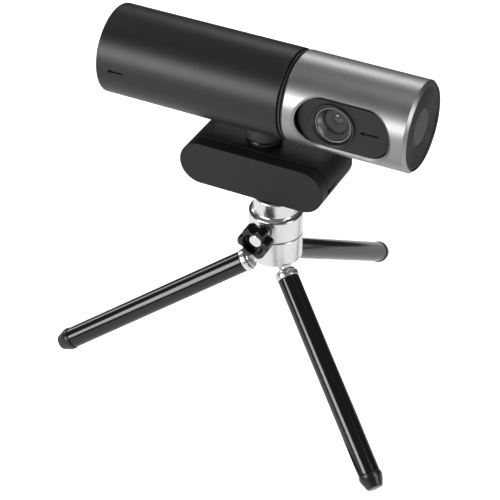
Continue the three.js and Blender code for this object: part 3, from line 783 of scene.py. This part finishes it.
def knuckle(low, high, web_low, web_high):
    """One barrel of the hinge with the web that ties it to its slab."""
    barrel = turned("barrel", [(0, low), (knuckle_radius, low, 0.3), (knuckle_radius, high, 0.3), (0, high)],
                    (0, hinge.cy, hinge.cz), along_x, sides=96)
    web = block("web", (low + 0.3, slab_back - 2.0, web_low), (high - 0.3, hinge.cy, web_high))
    return [barrel, web]


def pin_hole():
    radius = (hinge.z1 - hinge.z0) / 2 + 0.3
    profile = [(0, hinge.x0 - 3), (radius, hinge.x0 - 3), (radius, hinge.x1 + 3), (0, hinge.x1 + 3)]
    return turned("hole", profile, (0, hinge.cy, hinge.cz), along_x, sides=64)


# %% Upper plate and lip
inner, outer = 13.5, (hinge.x1 - hinge.x0) / 2
jaw_plate = slab("jaw_plate", half_pill(True), slab_front, slab_back, 0.35, across=lip.cx, up=lip.cz)
top_web = (plate_pad.z0, lip.cz + knuckle_radius)
combine(jaw_plate, knuckle(lip.cx + inner + 0.3, lip.cx + outer, *top_web)
        + knuckle(lip.cx - outer, lip.cx - inner - 0.3, *top_web), "UNION")
combine(jaw_plate, [
    pin_hole(),
    block("pad_room", (plate_pad.x0 - 0.3, plate_pad.y0 - 0.3, plate_pad.z0 - 1),
          (plate_pad.x1 + 0.3, plate_pad.y1 + 0.3, plate_pad.z1 + 0.3)),
    turned("bolt_room", [(0, lip.z0), (4.6, lip.z0), (4.6, plate_pad.z0 + 3.2), (2.8, plate_pad.z0 + 3.2),
                         (2.8, lip.z1 + 1), (0, lip.z1 + 1)], neck_axis, sides=64),
], "DIFFERENCE")
fine(jaw_plate, "clip_plate")

jaw_lip = slab("jaw_lip", pill(clip_width, clip_height, 40), lip.y0, lip.y1, 0.5, across=lip.cx, up=lip.cz,
               far_edge=0.3)
insert = Span("thread_insert")
insert_axis = (insert.cx, insert.cy, 0)
boss_radius, boss_height = 5.6, 6.9
room_radius, room_height = boss_radius + 0.3, boss_height + 0.3
combine(jaw_lip, [
    block("pad_room", (lip_pad.x0 - 0.3, lip_pad.y0 - 0.3, lip_pad.z0 - 0.3),
          (lip_pad.x1 + 0.3, lip_pad.y1 + 1, lip_pad.z1 + 0.3)),
    turned("boss_room", [(0, lip.z0 - 1), (room_radius, lip.z0 - 1), (room_radius, lip.z0 + room_height),
                         (0, lip.z0 + room_height)], insert_axis, sides=96),
], "DIFFERENCE")
fine(jaw_lip, "clip_lip")

# %% Lower leg of the clip
jaw_leg = slab("jaw_leg", half_pill(False), slab_front, slab_back, 0.35, across=lip.cx, up=lip.cz)
boss_top = lip.z0 + boss_height
boss = turned("boss", [(0, lip.z0), (boss_radius, lip.z0, 0.3), (boss_radius, boss_top, 0.3), (0, boss_top)],
              insert_axis, sides=96)
middle_knuckle = knuckle(lip.cx - inner, lip.cx + inner, lip.cz - knuckle_radius, leg_pad.z1)
combine(jaw_leg, [boss] + middle_knuckle, "UNION")
insert_hole = 4.6
notch_rings = [
    np.array([(x, slab_front - 1, leg_pad.z1 - 1.7), (x, slab_front + 9, leg_pad.z1 + 0.1),
              (x, slab_front + 9, leg_pad.z1 + 1), (x, slab_front - 1, leg_pad.z1 + 1)])
    for x in (lip.x0 - 5, lip.x1 + 5)
]
combine(jaw_leg, [
    pin_hole(),
    skin("notch", notch_rings),
    block("pad_room", (leg_pad.x0 - 0.3, leg_pad.y0 - 0.3, leg_pad.z0 - 0.3),
          (leg_pad.x1 + 0.3, leg_pad.y1 + 0.3, leg_pad.z1 + 1)),
    turned("hole", [(0, insert.z0 - 1), (insert_hole, insert.z0 - 1), (insert_hole, insert.z1 + 0.4),
                    (0, insert.z1 + 0.4)], insert_axis, sides=64),
], "DIFFERENCE")
fine(jaw_leg, "clip_leg")


# %% Pads and hinge pin
def pad(name, node, bevel=0.25, tools=()):
    place = Span(node)
    made = block(name, (place.x0, place.y0, place.z0), (place.x1, place.y1, place.z1))
    if tools:
        combine(made, list(tools), "DIFFERENCE")
    return fine(made, node, bevel=bevel)


pad("jaw_leg_pad", "clip_leg_pad")
pad("jaw_lip_pad", "clip_lip_pad")
opening = turned("hole", [(0, lip.z0), (5.0, lip.z0), (5.0, lip.z1), (0, lip.z1)], neck_axis, sides=64)
pad("jaw_plate_pad", "clip_plate_pad", bevel=0.1, tools=[opening])
pin_radius = (hinge.z1 - hinge.z0) / 2
fine(turned("jaw_hinge_pin", [(0, hinge.x0), (pin_radius, hinge.x0, 0.25), (pin_radius, hinge.x1, 0.25),
                              (0, hinge.x1)], (0, hinge.cy, hinge.cz), along_x, sides=64), "clip_hinge_pin")

# %% [markdown]
# ## Head and hub
# The head is turned from bright aluminium in two parts: a housing that pans, with a stepped neck and a
# platform under the clip, and the hub below it that holds the legs. The step has a round fillet, and the
# fillet is what draws the bright crescent, so it is part of the profile.

# %% Head housing
head = Span("head_housing")
hub = Span("leg_hub")
screw = Span("lock_screw")
knob = Span("lock_knob")
tripod_axis = (hub.cx, hub.cy, 0.0)
hub_radius = (hub.x1 - hub.x0) / 2
platform_radius = hub_radius - 2.0
shoulder = head.z0 + 9.65
head_casing = turned("head_casing", [
    (4.3, head.z0), (hub_radius, head.z0, 0.45), (hub_radius, shoulder, 1.3),
    (platform_radius + 0.9, shoulder + 0.05, 0.2), (platform_radius, shoulder + 0.9, 0.7),
    (platform_radius, head.z1, 0.9), (3.4, head.z1), (3.4, head.z0 + 10.65), (4.3, head.z0 + 9.4),
    (4.3, head.z0),
], tripod_axis, sides=192)
drill = turned("hole", [(0, 4), (3.0, 4), (3.0, 13), (0, 13)], (screw.cx, hub.cy, screw.cz), ahead, sides=96)
fine(combine(head_casing, [drill], "DIFFERENCE"), "head_housing")


# %% Lock screw and star knob
screw_start, screw_end = hub.cy - screw.y1, hub.cy - screw.y0
fine(turned("lock_bolt", [
    (0, screw_start), (1.4, screw_start), (1.4, screw_start + 1.5), (2.7, screw_start + 2.2, 0.1),
    (2.7, screw_end, 0.35), (0.5, screw_end),
], (screw.cx, hub.cy, screw.cz), ahead, sides=128), "lock_screw")


def star(radius, lobes=6, depth=1.7, steps=240):
    """A knob's outline: round lobes with narrower hollows between them."""
    turn = np.arange(steps) * 2 * math.pi / steps
    reach = radius - depth * np.abs(np.sin(lobes * turn / 2)) ** 5
    return np.stack([reach * np.cos(turn), reach * np.sin(turn)], 1)


def star_knob():
    radius = (knob.x1 - knob.x0) / 2
    near, far = hub.cy - knob.y1, hub.cy - knob.y0
    layers = [(star(radius) * 0.93, near), (star(radius) * 0.98, near + 0.15), (star(radius), near + 0.6)]
    layers += [(star(radius), far - 0.7), (star(radius) * 0.985, far - 0.2), (star(radius) * 0.93, far)]
    floor_of_recess = far - 3.4
    recess = [(4.6, far), (4.5, far - 0.1), (4.45, far - 3.2), (4.2, floor_of_recess), (3.0, floor_of_recess)]
    layers += [(star(r, depth=0.0), z) for r, z in [*recess, (3.0, near)]]
    rings = [placed(np.column_stack([flat, np.full(len(flat), z)]), (screw.cx, hub.cy, screw.cz), ahead)
             for flat, z in layers]
    return skin("star_knob", rings, loop=True)


fine(star_knob(), "lock_knob")


# %% [markdown]
# ## The legs
# Each leg is a painted tube with a ferrule and a steel fork at the top and a rubber foot at the bottom. One
# set of profiles makes all three: the line of each tube comes from its node, and every piece is measured
# along that line. The hub gets a slot and a pin hole for each fork, milled from below.


# %% The line of a leg, and how far a node reaches along it
def line_of(node):
    """A point on the long axis of a node, and the axis's direction downwards, in millimetres."""
    points = np.array([v.co for v in frame["nodes"][node].data.vertices]) / MM
    middle = points.mean(0)
    axis = np.linalg.svd(points - middle, full_matrices=False)[2][0]
    return middle, axis * (-1 if axis[2] > 0 else 1)


def reach_of(node, origin, axis):
    """Where a node starts and ends along an axis, and its greatest radius about it."""
    points = np.array([v.co for v in frame["nodes"][node].data.vertices]) / MM - origin
    along = points @ axis
    away = np.linalg.norm(points - np.outer(along, axis), axis=1)
    return along.min(), along.max(), away.max()


def leg_tools(pin, radial, tangent, up, slope):
    """The slot for a leg's fork and the hole for its pin."""
    room, half, far = 2.5, 2.3, 16.0
    arc = [(room * math.cos(a), room * math.sin(a)) for a in np.linspace(math.pi / 2 - slope, math.pi, 16)]
    outline = [(-room, -12.0), (far, -12.0), (far, room - far * math.tan(slope)), *arc]
    rings = [np.array([pin + radial * u + up * v + tangent * side for u, v in outline])
             for side in (-half, half)]
    profile = [(0, -4.9), (1.3, -4.9), (1.3, 4.9), (0, 4.9)]
    return [skin("slot", rings), turned("hole", profile, pin, tangent, sides=48)]


# %% Build the three legs
up = np.array([0.0, 0.0, 1.0])
hub_tools = []
for number in (1, 2, 3):
    middle, down = line_of(f"leg_tube_{number}")
    place = Span(f"leg_pin_{number}")
    pin = np.array([place.cx, place.cy, place.cz])
    radial = np.array([down[0], down[1], 0.0]) / math.hypot(down[0], down[1])
    tangent = np.array([-radial[1], radial[0], 0.0])
    slope = math.asin(-down[2])
    rise = np.cross(down, tangent)
    rise *= 1 if rise[2] > 0 else -1
    start = middle + down * ((pin - middle) @ down)
    drop = float((pin - start) @ rise)
    hub_tools += leg_tools(pin, radial, tangent, up, slope)

    low, high, radius = reach_of(f"leg_collar_{number}", start, down)
    fine(turned(f"leg_ferrule_{number}", [
        (3.5, low), (radius, low, 0.5), (radius, high, 0.4), (3.5, high), (3.5, low),
    ], start, down, sides=128), f"leg_collar_{number}")
    step = low - 1.3

    tube_low, tube_high, radius = reach_of(f"leg_tube_{number}", start, down)
    fine(turned(f"leg_rod_{number}", [
        (3.5, tube_low), (radius, tube_low, 0.12), (radius, tube_high, 0.12), (3.5, tube_high),
        (3.5, tube_low),
    ], start, down, sides=128), f"leg_tube_{number}")

    low, high, radius = reach_of(f"leg_foot_{number}", start, down)
    lip_of_foot = tube_high + 0.3
    fine(turned(f"rubber_foot_{number}", [
        (0, low), (3.2, low), (3.2, lip_of_foot),
        (radius, lip_of_foot, 0.35), (radius, lip_of_foot + 1.6, 0.9),
        (3.1, high, 0.5), (0.8, high),
    ], start, down, sides=128), f"leg_foot_{number}")

    arc = [(2.2 * math.cos(a), 2.2 * math.sin(a)) for a in np.linspace(math.pi / 2, 1.5 * math.pi, 25)]
    outline = arc + [(step + 0.6, -3.4), (step + 0.6, 1.5)]
    rings = []
    for side, inset in ((-2.0, -0.3), (-1.7, 0.0), (1.7, 0.0), (2.0, -0.3)):
        flat = grown(outline, inset)
        rings.append(np.array([pin + down * u + rise * v + tangent * side for u, v in flat]))
    fork = skin(f"leg_fork_{number}", rings)
    plug = turned("plug", [
        (0, step), (4.1, step, 0.5), (4.1, step + 1.0, 0.2),
        (3.2, step + 1.0), (3.2, tube_low + 8), (0, tube_low + 8),
    ], start, down, sides=96)
    combine(fork, [plug], "UNION")
    eye = turned("eye", [(0, -3), (1.3, -3), (1.3, 3), (0, 3)], pin, tangent, sides=48)
    fine(combine(fork, [eye], "DIFFERENCE"), f"leg_tongue_{number}")
    fine(turned(f"fold_pin_{number}", [(0, -4.6), (1.0, -4.6, 0.2), (1.0, 4.6, 0.2), (0, 4.6)], pin, tangent,
                sides=48), f"leg_pin_{number}")
    print(f"leg {number}: slope {math.degrees(slope):.1f}, drop {drop:.2f} mm")

# %% Leg hub
foot_of_hub = hub.z0 + 1.3
hub_body = turned("hub_body", [
    (3.3, hub.z0), (8.8, hub.z0, 0.3), (8.8, foot_of_hub, 0.2),
    (hub_radius, foot_of_hub, 0.5), (hub_radius, hub.z1, 0.45),
    (3.3, hub.z1), (3.3, hub.z0),
], tripod_axis, sides=192)
fine(combine(hub_body, hub_tools, "DIFFERENCE"), "leg_hub")

# %% [markdown]
# ## The port at the back
# At the back of the tube an oval recess lets a plug's moulded nose reach the socket, which is a thin pressed
# shell with a flat tongue inside. Both are small, so they are slabs cut with slabs.

# %% Port plate and socket
port_plate = block("port_face", (port.x0, port.y0, port.z0), (port.x1, port.y1, port.z1))
port_cut = slab("port_cut", pill(9.6, 3.9), port.y0 - 2, port.y1 + 2, 0.0, across=port.cx, up=tube.cz)
combine(port_plate, [port_cut], "DIFFERENCE")
fine(port_plate, "port_plate", bevel=0.12)
socket = Span("usb_c_socket")
socket_shell = slab("socket_shell", pill(9.0, 3.3), socket.y0, socket.y1, 0.12, across=port.cx, up=tube.cz)
mouth = slab("mouth", pill(8.4, 2.6), socket.y0 + 1, socket.y1 + 1, 0.0, across=port.cx, up=tube.cz)
combine(socket_shell, [mouth], "DIFFERENCE")
combine(socket_shell, [block("tongue", (port.cx - 3.3, socket.y0 + 0.4, tube.cz - 0.35),
                             (port.cx + 3.3, socket.y1 - 0.6, tube.cz + 0.35))], "UNION")
fine(socket_shell, "usb_c_socket")

# %% [markdown]
# ## Pieces kept from the CAD model
# The parts inside the camera, and the stud, insert and spindle inside the clip and the head, hardly show. So
# their CAD meshes stay, and only get the finishes made above.

# %% Finishes for the kept pieces
kept = [name for name, part in frame["nodes"].items() if not part.hide_render]
for name in kept:
    part = frame["nodes"][name]
    for place in part.material_slots:
        place.material = finishes[slot_of[name]]
print("kept from the CAD model:", sorted(kept))

# %% [markdown]
# ## Floor, light and camera
# The object stands on a plain pale floor. A large soft lamp, low and to the left of the camera, draws the
# band along the tube, a tall one on the right lights the end cap and the legs, and weaker ones fill in from
# the left, from behind and from above. The room above is dim, because a bright one would wash out the gloss.

# %% Floor
bpy.ops.mesh.primitive_plane_add(size=6.0, location=(0, 0, cad_low.z))
floor = bpy.context.object
floor.name = "floor"
floor_finish = Finish("floor_paper", 0.90, 0.9)
grain = floor_finish.noise(1.2, 3.0)
floor_finish.drive(Base_Color=floor_finish.mix(grain, 0.89, 0.91))
floor_finish.shader.inputs["Emission Color"].default_value = (1.0, 1.0, 1.0, 1.0)
floor_finish.shader.inputs["Emission Strength"].default_value = 0.80
floor.data.materials.append(floor_finish.material)
floor.visible_glossy = False
floor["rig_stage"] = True

# %% Room light and lamps
scene = bpy.context.scene
world = bpy.data.worlds.new("room")
scene.world = world
world.use_nodes = True
room = world.node_tree
background = next(n for n in room.nodes if n.type == "BACKGROUND")
where = room.nodes.new("ShaderNodeTexCoord")
split = room.nodes.new("ShaderNodeSeparateXYZ")
ramp = room.nodes.new("ShaderNodeValToRGB")
lift = room.nodes.new("ShaderNodeMath")
lift.operation = "MULTIPLY_ADD"
lift.inputs[1].default_value = 0.5
lift.inputs[2].default_value = 0.5
room.links.new(where.outputs["Generated"], split.inputs[0])
room.links.new(split.outputs["Z"], lift.inputs[0])
room.links.new(lift.outputs[0], ramp.inputs["Fac"])
room.links.new(ramp.outputs["Color"], background.inputs["Color"])
for element, (position, tone) in zip(ramp.color_ramp.elements, ((0.42, 0.04), (0.75, 0.12))):
    element.position = position
    element.color = (tone, tone, tone, 1.0)
background.inputs["Strength"].default_value = 1.0

target = Vector((0.0, -0.012, 0.095))


def lamp(name, azimuth, elevation, distance, wide, high, power):
    """A soft rectangular lamp that looks at the object. Azimuth 0 is in front, and 90 is on the right."""
    data = bpy.data.lights.new(name, "AREA")
    data.shape = "RECTANGLE"
    data.size, data.size_y = wide, high
    data.energy = power
    made = bpy.data.objects.new(name, data)
    scene.collection.objects.link(made)
    a, e = math.radians(azimuth), math.radians(elevation)
    back = Vector((math.sin(a) * math.cos(e), -math.cos(a) * math.cos(e), math.sin(e)))
    made.location = target + back * distance
    made.rotation_mode = "QUATERNION"
    made.rotation_quaternion = back.to_track_quat("Z", "Y")
    made.visible_camera = False
    return made


lamp("key_lamp", -28, 16, 0.60, 0.34, 0.24, 2.5)
lamp("right_lamp", 82, 28, 0.60, 0.16, 0.50, 1.5)
lamp("left_lamp", -100, 25, 0.60, 0.16, 0.50, 1.2)
lamp("back_lamp", 190, 40, 0.70, 0.50, 0.20, 1.2)
lamp("top_lamp", 0, 88, 0.80, 0.30, 0.30, 0.4)

# %% [markdown]
# Bright metal looks white only because it mirrors a white floor, while gloss black paint is best where it
# mirrors nothing. So the floor itself is kept out of mirror images, and two glowing sheets lie on it that
# only the bright metal sees. The strip left between them draws the soft dark band down the turned head.

# %% Floor glow for the bright metal
silver_slots = ("satin_silver", "chrome", "steel", "blasted_silver")
bright = bpy.data.collections.new("bright_metal")
scene.collection.children.link(bright)
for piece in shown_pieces():
    if any(place.material and place.material.name in silver_slots for place in piece.material_slots):
        bright.objects.link(piece)


def glow(name, azimuth, side, gap_width, wide, long, radiance):
    """A glowing sheet on the floor, beside a dark strip that runs from the tripod towards an azimuth."""
    data = bpy.data.lights.new(name, "AREA")
    data.shape = "RECTANGLE"
    data.size, data.size_y = wide, long
    data.energy = radiance * math.pi * wide * long
    made = bpy.data.objects.new(name, data)
    scene.collection.objects.link(made)
    a = math.radians(azimuth)
    along = Vector((math.sin(a), -math.cos(a), 0.0))
    beside = Vector((math.cos(a), math.sin(a), 0.0)) * side
    middle = Vector(((hub.x0 + hub.x1) / 2, (hub.y0 + hub.y1) / 2, 0.0)) * MM
    behind_tripod = 0.30
    above_floor = Vector((0, 0, 0.0004))
    ahead_of_middle = along * (long / 2 - behind_tripod)
    made.location = middle + ahead_of_middle + beside * (wide + gap_width) / 2 + above_floor
    made.rotation_euler = (math.pi, 0.0, -a)
    made.visible_camera = False
    made.light_linking.receiver_collection = bright
    return made


for side in (-1, 1):
    glow(f"floor_glow_{'left' if side < 0 else 'right'}", 11, side, 0.055, 0.5, 0.9, 0.95)

# %% Camera
lens_mm, sensor_mm = 132.86, 36.0
yaw, pitch, roll = (math.radians(v) for v in (25.94, 36.03, 0.74))
forward = Vector((-math.sin(yaw) * math.cos(pitch), math.cos(yaw) * math.cos(pitch), -math.sin(pitch)))
level = Vector((math.cos(yaw), math.sin(yaw), 0.0))
upward = level.cross(forward)
right = level * math.cos(roll) + upward * math.sin(roll)
over = upward * math.cos(roll) - level * math.sin(roll)
camera_data = bpy.data.cameras.new("camera")
camera_data.sensor_width = sensor_mm
camera_data.lens = lens_mm
camera_data.clip_start, camera_data.clip_end = 0.05, 20.0
camera = bpy.data.objects.new("camera", camera_data)
scene.collection.objects.link(camera)
stand = Vector((0.25403, -0.54536, 0.49426)) + Vector(((hub.x0 + hub.x1) / 2, (hub.y0 + hub.y1) / 2, 0)) * MM
turn = Matrix((right, over, -forward)).transposed().to_4x4()
camera.matrix_world = Matrix.Translation(stand) @ turn
scene.camera = camera
scene.view_settings.view_transform = "Standard"

# %% Sizes before and after
low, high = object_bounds()
print("visual box in mm:", [round(v / MM, 1) for v in (high - low)])
